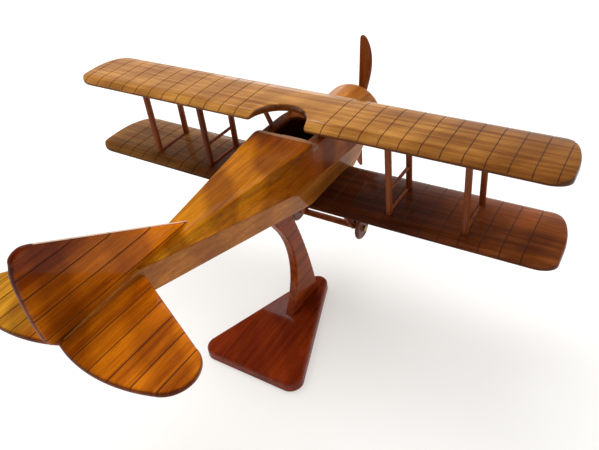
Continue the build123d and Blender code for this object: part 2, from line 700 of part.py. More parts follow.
with BuildPart() as propeller_pin:
    head_y = hub_front_y - END_PLAY
    with BuildSketch(Plane(origin=(0, head_y, THRUST_Z), z_dir=(0, 1, 0))):
        Circle(PIN_RADIUS)
    extrude(amount=BOSS_FRONT_Y + PIN_DEPTH - head_y)
    with BuildSketch(Plane(origin=(0, head_y, THRUST_Z), z_dir=(0, -1, 0))):
        Circle(PIN_HEAD_RADIUS)
    extrude(amount=PIN_HEAD_HEIGHT)
    fillet(propeller_pin.edges().sort_by(Axis.Y)[0], PIN_HEAD_ROUND)
finish(propeller_pin.part, "propeller_pin")

# ---------------------------------------------------------------- landing gear
cap_inner_x = WHEEL_X + WHEEL_WIDTH / 2 + 0.2
with BuildPart() as axle:
    with BuildSketch(Plane.YZ.offset(-cap_inner_x - CAP_THICKNESS / 2)):
        with Locations((AXLE_Y, AXLE_Z)):
            Circle(AXLE_RADIUS)
    extrude(amount=2 * cap_inner_x + CAP_THICKNESS)
finish(axle.part, "axle")

with BuildPart() as spreader_bar:
    with BuildSketch(Plane.YZ.offset(-SPREADER_HALF_LENGTH)):
        with Locations((AXLE_Y, AXLE_Z)):
            Ellipse(SPREADER_LONG_RADIUS, SPREADER_SHORT_RADIUS)
    extrude(amount=2 * SPREADER_HALF_LENGTH)
    add(axle.part, mode=Mode.SUBTRACT)
finish(spreader_bar.part, "spreader_bar")

for side_name, side in SIDES.items():
    front_leg = None
    for row_name, (top_y, foot_y) in LEG_ROWS.items():
        top = (side * LEG_TOP_X, top_y, LOWER_BOTTOM_Z + 4.0)
        foot = (side * LEG_FOOT_X, foot_y, AXLE_Z)
        with BuildPart() as leg:
            add(stick(foot, top, LEG_RADIUS * 1.3, LEG_RADIUS))
            add([fuselage_body.part, *lower_wings.values()], mode=Mode.SUBTRACT)
            add([spreader_bar.part, axle.part], mode=Mode.SUBTRACT)
            if front_leg is not None:
                add(front_leg, mode=Mode.SUBTRACT)
        front_leg = finish(leg.part, f"gear_leg_{side_name}_{row_name}")

    with BuildPart() as wheel:
        with BuildSketch(Plane(origin=(side * WHEEL_X, AXLE_Y, AXLE_Z), x_dir=(1, 0, 0), z_dir=(0, -1, 0))):
            bore = AXLE_RADIUS + RUNNING_CLEARANCE
            with BuildLine():
                Polyline(
                    (WHEEL_WIDTH / 2, bore),
                    (WHEEL_WIDTH / 2, 3.2),
                    (WHEEL_WIDTH / 2 - 0.9, 4.2),
                    (WHEEL_WIDTH / 2 - 0.3, WHEEL_RADIUS - 2.6),
                )
                ThreePointArc(
                    (WHEEL_WIDTH / 2 - 0.3, WHEEL_RADIUS - 2.6),
                    (0, WHEEL_RADIUS),
                    (-WHEEL_WIDTH / 2 + 0.3, WHEEL_RADIUS - 2.6),
                )
                Polyline(
                    (-WHEEL_WIDTH / 2 + 0.3, WHEEL_RADIUS - 2.6),
                    (-WHEEL_WIDTH / 2 + 0.9, 4.2),
                    (-WHEEL_WIDTH / 2, 3.2),
                    (-WHEEL_WIDTH / 2, bore),
                    (WHEEL_WIDTH / 2, bore),
                )
            make_face()
        revolve(axis=Axis((0, AXLE_Y, AXLE_Z), (1, 0, 0)))
    finish(wheel.part, f"wheel_{side_name}")

    with BuildPart() as wheel_cap:
        with BuildSketch(Plane.YZ.offset(side * cap_inner_x)):
            with Locations((AXLE_Y, AXLE_Z)):
                Circle(CAP_RADIUS)
        extrude(amount=side * CAP_THICKNESS)
        fillet(wheel_cap.edges().sort_by(Axis.X, reverse=side > 0)[0], 0.6)
        add(axle.part, mode=Mode.SUBTRACT)
    finish(wheel_cap.part, f"wheel_cap_{side_name}")
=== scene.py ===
"""Looks of a varnished wooden biplane on its stand: meshes, wood finishes, floor, light and camera."""

import json
from math import cos, pi, radians, sin, sqrt, tan

import bmesh
import bpy
import numpy as np
from mathutils import Matrix, Vector


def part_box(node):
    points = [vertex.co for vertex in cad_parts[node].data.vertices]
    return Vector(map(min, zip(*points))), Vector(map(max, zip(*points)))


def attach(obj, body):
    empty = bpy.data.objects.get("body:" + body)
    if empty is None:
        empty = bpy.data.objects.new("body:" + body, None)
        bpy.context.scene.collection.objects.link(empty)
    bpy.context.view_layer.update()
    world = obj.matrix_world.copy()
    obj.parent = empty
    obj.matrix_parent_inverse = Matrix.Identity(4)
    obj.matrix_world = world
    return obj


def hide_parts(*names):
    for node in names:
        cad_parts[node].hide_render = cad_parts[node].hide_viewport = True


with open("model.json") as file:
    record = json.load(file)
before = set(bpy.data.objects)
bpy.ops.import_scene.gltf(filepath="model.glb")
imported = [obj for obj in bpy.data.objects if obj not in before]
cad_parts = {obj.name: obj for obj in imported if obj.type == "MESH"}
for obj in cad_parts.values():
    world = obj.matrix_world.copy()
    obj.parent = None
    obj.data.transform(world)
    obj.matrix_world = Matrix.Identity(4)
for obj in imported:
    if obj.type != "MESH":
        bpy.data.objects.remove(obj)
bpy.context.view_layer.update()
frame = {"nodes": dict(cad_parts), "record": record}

MM = 0.001


# ---------------------------------------------------------------- shader helpers
def set_inputs(shader, inputs):
    """Sets inputs of a shader node, named with _ for each space."""
    for name, value in inputs.items():
        shader.inputs[name.replace("_", " ")].default_value = value


def node(tree, kind, **inputs):
    """Adds a shader node and sets its named inputs."""
    made = tree.nodes.new("ShaderNode" + kind)
    set_inputs(made, inputs)
    return made


def new_material(name, **inputs):
    """A node material, its tree, and its surface shader with the named inputs set."""
    material = bpy.data.materials.new(name)
    material.use_nodes = True
    surface = material.node_tree.nodes["Principled BSDF"]
    set_inputs(surface, inputs)
    return material, material.node_tree, surface


def feed(tree, value, socket):
    """Links an output to an input, or gives the input a plain value."""
    if isinstance(value, bpy.types.NodeSocket):
        tree.links.new(value, socket)
    else:
        socket.default_value = value


def ramp(tree, source, stops):
    """A colour ramp over a value, with stops given as {position: colour}."""
    made = tree.nodes.new("ShaderNodeValToRGB")
    elements = made.color_ramp.elements
    while len(elements) < len(stops):
        elements.new(0.5)
    for element, (place, colour) in zip(elements, sorted(stops.items())):
        element.position = place
        element.color = (*colour, 1.0)
    tree.links.new(source, made.inputs["Fac"])
    return made.outputs["Color"]


def blend_colour(tree, way, share, first, second):
    """Mixes two colours. Share, first and second are outputs or plain values."""
    made = tree.nodes.new("ShaderNodeMix")
    made.data_type = "RGBA"
    made.blend_type = way
    # Inputs 0, 6 and 7 and output 2 are the ones that a mix of colours uses.
    for number, value in ((0, share), (6, first), (7, second)):
        feed(tree, value, made.inputs[number])
    return made.outputs[2]


def arithmetic(tree, operation, first, second=0.0):
    """One math node on outputs or plain numbers."""
    made = tree.nodes.new("ShaderNodeMath")
    made.operation = operation
    for socket, value in zip(made.inputs, (first, second)):
        feed(tree, value, socket)
    return made.outputs["Value"]


def product(tree, first, *others):
    """Product of outputs and plain numbers."""
    for value in others:
        first = arithmetic(tree, "MULTIPLY", first, value)
    return first


def ease_in(tree, value, start, end):
    """0 at start, 1 at end, smooth between."""
    rising = start < end
    made = node(tree, "MapRange", From_Min=min(start, end), From_Max=max(start, end),
                To_Min=float(not rising), To_Max=float(rising))
    made.interpolation_type = "SMOOTHSTEP"
    tree.links.new(value, made.inputs["Value"])
    return made.outputs["Result"]


def vary_roughness(tree, surface, source, low, high):
    """Roughness that runs from low to high with a value."""
    made = node(tree, "MapRange", To_Min=low, To_Max=high)
    tree.links.new(source, made.inputs["Value"])
    tree.links.new(made.outputs["Result"], surface.inputs["Roughness"])


def point_value(tree, label):
    """The values that the points of a mesh carry under a label, 0 where there are none."""
    made = tree.nodes.new("ShaderNodeAttribute")
    made.attribute_name = label
    return made.outputs["Fac"]


def split_axes(tree, source):
    """The X, Y and Z outputs of one kind of texture coordinates."""
    split = tree.nodes.new("ShaderNodeSeparateXYZ")
    tree.links.new(tree.nodes.new("ShaderNodeTexCoord").outputs[source], split.inputs["Vector"])
    return split.outputs


def on_object(tree, texture, **mapping_inputs):
    """The value of a texture on the object's own coordinates, through a mapping."""
    mapping = node(tree, "Mapping", **mapping_inputs)
    tree.links.new(tree.nodes.new("ShaderNodeTexCoord").outputs["Object"], mapping.inputs["Vector"])
    tree.links.new(mapping.outputs["Vector"], texture.inputs["Vector"])
    return texture.outputs["Fac"]


def stretched_noise(tree, grain, seed, along, across, detail, distortion=0.0):
    """Noise that is stretched along the grain axis. Along and across are in waves per metre."""
    noise = node(tree, "TexNoise", Scale=1.0, Detail=detail, Roughness=0.6, Distortion=distortion)
    scale = [along if axis == grain else across for axis in "XYZ"]
    return on_object(tree, noise, Scale=scale, Location=(seed, 2 * seed, 3 * seed))


def ribbon_figure(tree, grain, seed):
    """Soft bands that cross the grain on a slant, as on ribbon mahogany."""
    wave = node(tree, "TexWave", Scale=9.0, Distortion=5.0, Detail=2.0, Detail_Scale=1.2)
    slant = (0.5, 0.35, 0.6 if grain == "X" else -0.7)
    return on_object(tree, wave, Rotation=slant, Location=(seed, seed, seed))


# ---------------------------------------------------------------- finishes
COCKPIT_FRONT = -81.0 * MM
COCKPIT_REAR = -48.0 * MM
COCKPIT_HALF = 16.0 * MM
COCKPIT_CORNER = 7.0 * MM
# Each pair is where the darkening of the well or the painted highlight on its lip starts, and where it is
# full.
WELL_MARGINS = (0.5 * MM, 0.1 * MM)
WELL_DARKENS = (163.2 * MM, 160.5 * MM)
LIP_ENDS_FRONT = (-52.0 * MM, -50.0 * MM)
LIP_ENDS_REAR = (-43.4 * MM, -44.6 * MM)
LIP_RISES = (159.0 * MM, 162.5 * MM)
LIP_GLINT_STRENGTH = 0.85
GROOVE_STRENGTH = 0.88

# Darkening inside the cockpit well, fading in from just below its rim.
WELL_DARKENING = (0.16, 0.12, 0.16, 1.0)
GROOVE_STAIN = (0.050, 0.018, 0.008, 1.0)
# Pale fore edges of the tail: partly real rubbing of the varnish, partly a painted glint.
RUBBED_AND_GLINTING_EDGE = (0.78, 0.60, 0.42, 1.0)
# Painted highlight: a pale band on the rear lip of the cockpit stands in for a glint.
LIP_GLINT_COLOUR = (0.33, 0.17, 0.085, 1.0)
STREAKS = {0.30: (0.62, 0.56, 0.50), 0.62: (1.08, 1.06, 1.04)}
CLOUDS = {0.25: (0.68, 0.58, 0.52), 0.75: (1.20, 1.22, 1.20)}
PORES = {0.30: (0.45, 0.40, 0.38), 0.40: (1.0, 1.0, 1.0)}
DARK_RIM = {0.08: (1.0, 1.0, 1.0), 0.40: (0.44, 0.29, 0.24)}

VARNISH_IOR = 1.5
COAT_ROUGHNESS = 0.07
TIMBER_SPECULAR = 0.03
TIMBER_ROUGHNESS = (0.34, 0.52)
METAL_ROUGHNESS_RANGE = 0.22

WOODS = {
    "upper_wing": dict(
        light=(0.54, 0.255, 0.055), dark=(0.26, 0.090, 0.016), grain="X", seed=1.0, coat=0.5,
        # Painted shadow: the starboard half of the wing darkens towards its tip.
        painted_light_and_shade=[("X", -20, -190, (0.58, 0.50, 0.44))],
    ),
    "lower_wing": dict(
        light=(0.30, 0.078, 0.018), dark=(0.130, 0.030, 0.008), grain="X", seed=5.0, coat=0.35,
        # Painted shadow of the upper wing darkens all but the starboard tip; painted reflection brightens the
        # port half; painted light lifts the starboard tip.
        painted_light_and_shade=[("X", -170, -80, (0.34, 0.32, 0.46)), ("X", 40, 150, (3.1, 5.6, 3.6)),
               ("X", -110, -185, (1.2, 1.3, 1.3))],
    ),
    "fuselage": dict(
        light=(0.50, 0.180, 0.026), dark=(0.30, 0.094, 0.013), grain="Y", seed=9.0, coat=0.36, well=True,
    ),
    "deck": dict(
        light=(0.58, 0.222, 0.003), dark=(0.29, 0.086, 0.002), grain="Y", seed=13.0, coat=0.08, figure=0.9,
        # Painted shadow darkens the deck forwards under the upper wing, more near the cockpit; painted light
        # brightens the faces below its top.
        painted_light_and_shade=[("Y", 75, -20, (0.76, 0.66, 0.9)), ("Y", -16, -38, (0.64, 0.47, 0.9)),
               ("Z", 163, 157, (1.35, 1.3, 1.0))],
        well=True,
    ),
    "tail": dict(
        light=(0.56, 0.158, 0.004), dark=(0.28, 0.060, 0.002), grain="Y", seed=17.0, coat=0.20, figure=0.7,
        # Painted reflection pales the port side, painted light brightens the fore parts, painted shadow
        # darkens the fin's top.
        painted_light_and_shade=[("X", 6, 30, (0.95, 1.6, 3.0)), ("Y", 140, 85, (1.9, 2.0, 0.5)),
               ("Z", 190, 208, (0.48, 0.32, 0.6))],
    ),
    "stand": dict(
        light=(0.290, 0.038, 0.005), dark=(0.130, 0.013, 0.003), grain="Y", seed=21.0, coat=0.30,
        # Painted reflection: the post turns lighter and warmer above the base.
        painted_light_and_shade=[("Z", 12, 24, (1.25, 1.8, 1.0))],
    ),
    "strut": dict(light=(0.30, 0.078, 0.018), dark=(0.150, 0.032, 0.009), grain="Z", seed=25.0, coat=0.25),
    "propeller": dict(light=(0.32, 0.080, 0.014), dark=(0.17, 0.030, 0.008), grain="Z", seed=29.0, coat=0.35),
    "wheel": dict(light=(0.210, 0.062, 0.032), dark=(0.100, 0.026, 0.015), grain="Y", seed=33.0, coat=0.4),
    "seat": dict(light=(0.42, 0.20, 0.13), dark=(0.27, 0.11, 0.075), grain="X", seed=37.0, coat=0.3),
    "dowel": dict(light=(0.70, 0.46, 0.23), dark=(0.50, 0.30, 0.13), grain="Z", seed=41.0, coat=0.0),
}


def cockpit_depth(tree, place):
    """1 on every face inside the cockpit well, 0 elsewhere."""
    outer, inner = WELL_MARGINS
    half_length = (COCKPIT_REAR - COCKPIT_FRONT) / 2
    across = arithmetic(tree, "ABSOLUTE", place["X"])
    from_middle = arithmetic(tree, "SUBTRACT", place["Y"], (COCKPIT_FRONT + COCKPIT_REAR) / 2)
    along = arithmetic(tree, "ABSOLUTE", from_middle)
    return product(
        tree,
        ease_in(tree, across, COCKPIT_HALF + outer, COCKPIT_HALF + inner),
        ease_in(tree, along, half_length + outer, half_length + inner),
        ease_in(tree, place["Z"], *WELL_DARKENS),
    )


def cockpit_lip_glint(tree, place):
    """The painted highlight on the rounded lip behind the cockpit, 0 elsewhere."""
    return product(
        tree,
        ease_in(tree, place["Y"], *LIP_ENDS_REAR),
        ease_in(tree, place["Z"], *LIP_RISES),
        ease_in(tree, place["Y"], *LIP_ENDS_FRONT),
        LIP_GLINT_STRENGTH,
    )


def wood(name, light, dark, grain, seed, coat, figure=0.35, painted_light_and_shade=(), well=False):
    """Varnished mahogany: growth bands, fibres, open pores, dark rims, stained grooves, and fore edges that
    are partly rubbed and partly carry a painted glint.

    Painted light and shadow lists (axis, start, end, colour): the timber is multiplied towards that colour
    from start to end, in mm, along the axis, as painted light where it brightens and painted shadow where it
    darkens. With a well, the inside of the cockpit is darkened and its rear lip carries a painted highlight.
    """
    material, tree, surface = new_material(
        name, IOR=VARNISH_IOR, Specular_IOR_Level=TIMBER_SPECULAR,
        Coat_Weight=coat, Coat_Roughness=COAT_ROUGHNESS, Coat_IOR=VARNISH_IOR,
    )
    bands = stretched_noise(tree, grain, seed, along=9, across=210, detail=3.0, distortion=0.6)
    fibres = stretched_noise(tree, grain, seed + 3, along=60, across=1500, detail=4.0, distortion=0.2)
    pores = stretched_noise(tree, grain, seed + 5, along=160, across=3200, detail=2.0)
    ribbons = ribbon_figure(tree, grain, seed + 7)

    middle = [(a + b) / 2 for a, b in zip(light, dark)]
    colour = ramp(tree, bands, {0.30: dark, 0.50: middle, 0.70: light})
    colour = blend_colour(tree, "MULTIPLY", 0.75, colour, ramp(tree, fibres, STREAKS))
    colour = blend_colour(tree, "MULTIPLY", figure, colour, ramp(tree, ribbons, CLOUDS))
    colour = blend_colour(tree, "MULTIPLY", 0.6, colour, ramp(tree, pores, PORES))

    place = split_axes(tree, "Object")
    # Painted light and shadow, along the axes of the piece.
    for axis, start, end, tone in painted_light_and_shade:
        share = ease_in(tree, place[axis], start * MM, end * MM)
        colour = blend_colour(tree, "MULTIPLY", share, colour, (*tone, 1.0))
    if well:
        # Darkens the inside of the cockpit well.
        colour = blend_colour(tree, "MULTIPLY", cockpit_depth(tree, place), colour, WELL_DARKENING)
        # Painted highlight: a pale band on the rear lip stands in for a glint.
        colour = blend_colour(tree, "MIX", cockpit_lip_glint(tree, place), colour, LIP_GLINT_COLOUR)

    colour = blend_colour(tree, "MULTIPLY", 1.0, colour, ramp(tree, point_value(tree, "edge"), DARK_RIM))
    # Pale fore edges: partly real rubbing, partly a painted glint.
    colour = blend_colour(tree, "MIX", point_value(tree, "rub_and_glint"), colour, RUBBED_AND_GLINTING_EDGE)
    stain = product(tree, point_value(tree, "groove"), GROOVE_STRENGTH)
    colour = blend_colour(tree, "MIX", stain, colour, GROOVE_STAIN)
    tree.links.new(colour, surface.inputs["Base Color"])

    vary_roughness(tree, surface, fibres, *TIMBER_ROUGHNESS)
    bump = node(tree, "Bump", Strength=0.12, Distance=0.2 * MM)
    tree.links.new(fibres, bump.inputs["Height"])
    tree.links.new(bump.outputs["Normal"], surface.inputs["Normal"])
    return material


def metal(name, colour, tarnish, roughness, seed):
    """Bare metal with fine scratches and patches of tarnish."""
    material, tree, surface = new_material(name, Metallic=1.0)
    patches = stretched_noise(tree, "X", seed, along=700, across=700, detail=4.0, distortion=0.5)
    scratches = stretched_noise(tree, "X", seed + 2, along=6000, across=500, detail=2.0)
    tree.links.new(ramp(tree, patches, {0.35: tarnish, 0.6: colour}), surface.inputs["Base Color"])
    vary_roughness(tree, surface, scratches, roughness, roughness + METAL_ROUGHNESS_RANGE)
    return material


FINISHES = {f"{kind}_wood": wood(f"{kind}_finish", **look) for kind, look in WOODS.items()}
FINISHES["steel"] = metal("steel_finish", (0.56, 0.56, 0.57), (0.30, 0.28, 0.26), 0.22, 45.0)
FINISHES["brass"] = metal("brass_finish", (0.42, 0.26, 0.11), (0.17, 0.09, 0.05), 0.30, 49.0)
SLOT_OF = {part["node"]: part["material_slot"] for part in frame["record"]["subparts"]}


def paint(piece, slot):
    """Gives a piece the finish of one of the record's material slots."""
    piece.data.materials.clear()
    piece.data.materials.append(FINISHES[slot])


for name, cad_node in frame["nodes"].items():
    paint(cad_node, SLOT_OF[name])


# ---------------------------------------------------------------- mesh helpers
MERGE = 1e-6
SLIVER = 1e-7
# Edges that turn by more than these angles, in degrees, stay sharp.
SHARP_ANGLE = 38
SHARPER_DECK_ANGLE = 32
SHARP_PROPELLER_ANGLE = 40


def link(name, data):
    """Puts a mesh, a light or a camera in the scene."""
    made = bpy.data.objects.new(name, data)
    bpy.context.scene.collection.objects.link(made)
    return made


def bare(name, points, faces, shades=None):
    """A mesh without a finish. Shades are labelled values for each point."""
    mesh = bpy.data.meshes.new(name)
    mesh.from_pydata([tuple(point) for point in points], [], faces)
    for label, values in (shades or {}).items():
        attribute = mesh.attributes.new(label, "FLOAT", "POINT")
        attribute.data.foreach_set("value", np.asarray(values, np.float32))
    work = bmesh.new()
    work.from_mesh(mesh)
    bmesh.ops.remove_doubles(work, verts=work.verts, dist=MERGE)
    bmesh.ops.dissolve_degenerate(work, edges=work.edges, dist=SLIVER)
    bmesh.ops.recalc_face_normals(work, faces=work.faces)
    work.to_mesh(mesh)
    work.free()
    return link(name, mesh)


def dress(piece, replaced, body, sharp=SHARP_ANGLE):
    """Finishes a mesh: smooth shading, paint, and what it rides on and stands for."""
    piece.data.shade_smooth()
    piece.data.set_sharp_from_angle(angle=radians(sharp))
    paint(piece, SLOT_OF[replaced])
    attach(piece, body)
    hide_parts(replaced)


def new_piece(name, replaced, body, points, faces, shades=None):
    """A finished piece that stands for one CAD node."""
    dress(bare(name, points, faces, shades), replaced, body)


def loft_faces(ring_count, ring_size, capped=True):
    """Faces that join closed rings of points one after another."""
    faces = []
    for ring in range(ring_count - 1):
        low, high = ring * ring_size, (ring + 1) * ring_size
        for k in range(ring_size):
            following = (k + 1) % ring_size
            faces.append((low + k, low + following, high + following, high + k))
    if capped:
        faces.append(tuple(range(ring_size)))
        faces.append(tuple(range((ring_count - 1) * ring_size, ring_count * ring_size)))
    return faces


def bare_loft(name, rings):
    """A closed mesh without a finish, from rings of points."""
    return bare(name, [point for ring in rings for point in ring], loft_faces(len(rings), len(rings[0])))


def carve(target, tool, operation):
    """Joins or cuts target with tool, which is used up."""
    change = target.modifiers.new("cut", "BOOLEAN")
    change.operation, change.object, change.solver = operation, tool, "EXACT"
    depsgraph = bpy.context.evaluated_depsgraph_get()
    made = bpy.data.meshes.new_from_object(target.evaluated_get(depsgraph))
    target.modifiers.clear()
    target.data = made
    bpy.data.objects.remove(tool)


def lathe(name, replaced, body, profile, origin, axis, segments=72, hollow=False):
    """A turned piece. The profile is (distance along the axis, radius), and closes on itself if hollow."""
    axis = Vector(axis)
    across = axis.orthogonal().normalized()
    third = axis.cross(across)
    points = []
    for along, radius in profile:
        for k in range(segments):
            angle = 2 * pi * k / segments
            points.append(Vector(origin) + axis * along + (across * cos(angle) + third * sin(angle)) * radius)
    if hollow:
        points += points[:segments]
    new_piece(name, replaced, body, points, loft_faces(len(points) // segments, segments, not hollow))


def corner(centre, radius, start, end, steps):
    """Points on a round corner, with angles in degrees."""
    angles = np.radians(np.linspace(start, end, steps))
    return [(centre[0] + radius * cos(angle), centre[1] + radius * sin(angle)) for angle in angles]


def arc_drop(share):
    """Fall of a quarter circle of radius 1, from 0 at its crest to 1 at its foot."""
    return 1 - sqrt(max(0.0, 1 - share**2))


def eased(start, end, count):
    """Stations that crowd towards the end."""
    return [start + (end - start) * sin(share * pi / 2) for share in np.linspace(0, 1, count)]


def mirrored_stations(right):
    """Stations on both sides of the middle, in order."""
    return sorted({-station for station in right} | set(right))


def circle_through(first, *others):
    """Centre and radius of the circle through three points."""
    rows = [np.subtract(other, first) for other in others]
    from_first = np.linalg.solve(rows, [row @ row / 2 for row in rows])
    return from_first + first, float(np.hypot(*from_first))


def distance_to_line(points, line):
    """Distance from each point to a polyline, in the plane."""
    line = np.asarray(line)
    start, run = line[:-1], np.diff(line, axis=0)
    length = np.maximum((run**2).sum(1), 1e-18)
    best = np.full(len(points), np.inf)
    for first, step, squared in zip(start, run, length):
        share = np.clip(((points - first) @ step) / squared, 0, 1)
        best = np.minimum(best, np.hypot(*(points - first - share[:, None] * step).T))
    return best


# ---------------------------------------------------------------- boards with scribed lines
GROOVE_DEPTH = 0.4 * MM
GROOVE_HALF = 0.5 * MM
GROOVE_CLEARING = 1.3 * GROOVE_HALF
GROOVE_STEEPNESS = 1.6
GROOVE_ON_RIM = 0.35
RIM_FULLNESS = 0.55
EDGE_POWER = 2.5
EDGE_STEPS = 6
EDGE_SHARE = 0.45
CHORD_STEPS = 14
RUB_AND_GLINT_COLUMNS = 2


def board(name, replaced, spans, fore, aft, under, over, edge_radius, grooves, place, both_faces=False,
          open_root=False, fore_rub_and_glint=lambda span: 0.0):
    """A thin board of the airframe with rounded edges and scribed lines across it.

    Spans are stations along it, fore and aft give its outline at a station, under and over its two faces,
    and place turns (span, chord, height) into a point.
    """
    stations = set(spans)
    for line in grooves:
        stations = {span for span in stations if abs(span - line) > GROOVE_CLEARING}
        stations |= {line + share * GROOVE_HALF for share in (-1.0, -0.5, 0.0, 0.5, 1.0)}
    stations = np.array(sorted(stations))
    outline = [(span, fore(span)) for span in spans] + [(span, aft(span)) for span in reversed(spans)]
    if not open_root:
        outline.append(outline[0])

    ease = 1 - np.cos(np.linspace(0, pi / 2, EDGE_STEPS + 1))
    rows = []
    for span in stations:
        front, rear = fore(span), aft(span)
        reach = min(edge_radius, EDGE_SHARE * (rear - front))
        between = np.linspace(front + reach, rear - reach, CHORD_STEPS + 1)[1:-1]
        rows.append(np.concatenate([front + reach * ease, between, (rear - reach * ease)[::-1]]))
    chords = np.array(rows)
    columns = chords.shape[1]
    plan = np.column_stack([np.repeat(stations, columns), chords.ravel()])
    gap = distance_to_line(plan, outline).reshape(chords.shape)
    gap[:, 0] = gap[:, -1] = 0.0
    fullness = (1 - np.clip(1 - gap / edge_radius, 0, 1) ** EDGE_POWER) ** (1 / EDGE_POWER)
    cut = np.zeros(len(stations))
    for line in grooves:
        cut = np.maximum(cut, np.clip(GROOVE_STEEPNESS * (1 - np.abs(stations - line) / GROOVE_HALF), 0, 1))

    points, edge, groove, rub_and_glint = [], [], [], []
    ring = [(column, 1) for column in range(columns)] + [(column, -1) for column in range(columns - 2, 0, -1)]
    for row, span in enumerate(stations):
        for column, face in ring:
            chord, full = chords[row, column], fullness[row, column]
            bottom, top = under(span, chord), over(span, chord)
            middle = (bottom + top) / 2
            lined = cut[row] * (face > 0 or both_faces)
            height = middle + ((top if face > 0 else bottom) - middle) * full
            height -= face * GROOVE_DEPTH * lined * (full > RIM_FULLNESS)
            points.append(place(span, chord, height))
            edge.append(1 - full)
            groove.append(lined * (1.0 if full > RIM_FULLNESS else GROOVE_ON_RIM))
            rub_and_glint.append(fore_rub_and_glint(span) * (column < RUB_AND_GLINT_COLUMNS))
    faces = loft_faces(len(stations), len(ring))
    new_piece(name, replaced, "airframe", points, faces, {"edge": edge, "groove": groove, "rub_and_glint": rub_and_glint})


# ---------------------------------------------------------------- wings
WING_THICKNESS = 6.4 * MM
WING_REAR_TOP = 5.3 * MM
WING_REAR_SLOPE = 6.5 * MM
WING_REAR_CURVE = 0.55
WING_EDGE = 1.6 * MM
WING_NOSE = 0.42
WING_NOSE_SHARE = 0.06
WING_CREST_SHARE = 0.3
WING_FALL_POWER = 1.9
WING_ROUND = 1.1 * MM
WING_STEPS = 46
TIP_STEPS = 24
RIB_FIRST = 36.5 * MM
RIB_PITCH = 14.13 * MM
RIB_COUNT = 11
RIBS = [RIB_FIRST + RIB_PITCH * k for k in range(RIB_COUNT)]
TIP_RIB = RIB_FIRST + RIB_PITCH * RIB_COUNT
TIP_FRONT_WIDTH = 18 * MM
TIP_FRONT_SHARE = 0.65
TIP_REAR_WIDTH = 14 * MM
TIP_REAR_DEPTH = 9 * MM
CUTOUT_RADIUS = 22.5 * MM
CUTOUT_CORNER = 3 * MM
CUTOUT_ANGLES = (0, 8, 16, 24, 32, 40, 48, 56, 63, 69, 74, 78, 81)
CUTOUT_CORNER_ANGLES = (0, 12, 25, 40, 55, 70, 80)
LOWER_DIHEDRAL = radians(0.55)


def wing_over(into, chord):
    """Height of the top of a wing section above its flat bottom, at a distance behind the nose."""
    share = max(into, 0.0) / chord
    if share < WING_CREST_SHARE:
        lift = 1 - arc_drop((WING_CREST_SHARE - share) / WING_CREST_SHARE)
        return WING_THICKNESS * (WING_NOSE + (1 - WING_NOSE) * lift)
    slope_start = 1 - WING_REAR_SLOPE / chord
    if share < slope_start:
        fall = (share - WING_CREST_SHARE) / (slope_start - WING_CREST_SHARE)
        return WING_THICKNESS - (WING_THICKNESS - WING_REAR_TOP) * fall**WING_FALL_POWER
    down = min(1.0, (share - slope_start) / (1 - slope_start))
    bent = (1 - WING_REAR_CURVE) * down + WING_REAR_CURVE * down**2
    return WING_REAR_TOP - (WING_REAR_TOP - WING_EDGE) * bent


def wing_under(into, chord):
    """Height of the underside, which curves up to the nose."""
    share = max(into, 0.0) / chord
    if share > WING_NOSE_SHARE:
        return 0.0
    return WING_THICKNESS * WING_NOSE * arc_drop((WING_NOSE_SHARE - share) / WING_NOSE_SHARE)


def tip_fore(span, half_span, leading, trailing):
    """Leading edge, which sweeps back into the tip on a quarter ellipse."""
    into = max(0.0, span - (half_span - TIP_FRONT_WIDTH)) / TIP_FRONT_WIDTH
    return leading + TIP_FRONT_SHARE * (trailing - leading) * arc_drop(into)


def tip_aft(span, half_span, trailing):
    """Trailing edge with its rounded tip corner."""
    into = max(0.0, span - (half_span - TIP_REAR_WIDTH)) / TIP_REAR_WIDTH
    return trailing - TIP_REAR_DEPTH * arc_drop(into)


def cutout(span, trailing):
    """Trailing edge at the round cut-out over the cockpit."""
    corner_end = CUTOUT_RADIUS + CUTOUT_CORNER
    corner_start = sqrt(CUTOUT_RADIUS**2 - CUTOUT_CORNER**2)
    if span >= corner_end:
        return trailing
    if span >= corner_start:
        return trailing - CUTOUT_CORNER + sqrt(max(0.0, CUTOUT_CORNER**2 - (corner_end - span) ** 2))
    return trailing - sqrt(CUTOUT_RADIUS**2 - span**2)


def wing_spans(half_span):
    """Stations from the cut-out to the tip, close together where the tip turns."""
    tip_start = half_span - TIP_FRONT_WIDTH
    straight = np.linspace(CUTOUT_RADIUS + CUTOUT_CORNER, tip_start, WING_STEPS)
    return list(straight) + eased(tip_start, half_span, TIP_STEPS)[1:]


def add_wing_board(node_name, half_span, spans, aft, ribs, place, open_root=False):
    """The board of an upper or lower wing, between the leading and trailing edges of its CAD node."""
    low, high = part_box(node_name)
    leading, trailing = low.y, high.y
    board(
        node_name + "_skin", node_name, spans,
        lambda span: tip_fore(abs(span), half_span, leading, trailing),
        lambda span: aft(abs(span), trailing),
        lambda span, chord: wing_under(chord - leading, trailing - leading),
        lambda span, chord: wing_over(chord - leading, trailing - leading),
        WING_ROUND, ribs, place, open_root=open_root,
    )


def add_upper_wing():
    low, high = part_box("upper_wing")
    half_span = high.x
    right = [CUTOUT_RADIUS * sin(radians(angle)) for angle in CUTOUT_ANGLES]
    right += [CUTOUT_RADIUS + CUTOUT_CORNER * (1 - cos(radians(angle))) for angle in CUTOUT_CORNER_ANGLES]
    right += wing_spans(half_span)

    def aft(span, trailing):
        return min(tip_aft(span, half_span, trailing), cutout(span, trailing))

    def place(span, chord, height):
        return span, chord, low.z + height

    ribs = mirrored_stations([*RIBS, TIP_RIB])
    add_wing_board("upper_wing", half_span, mirrored_stations(right), aft, ribs, place)


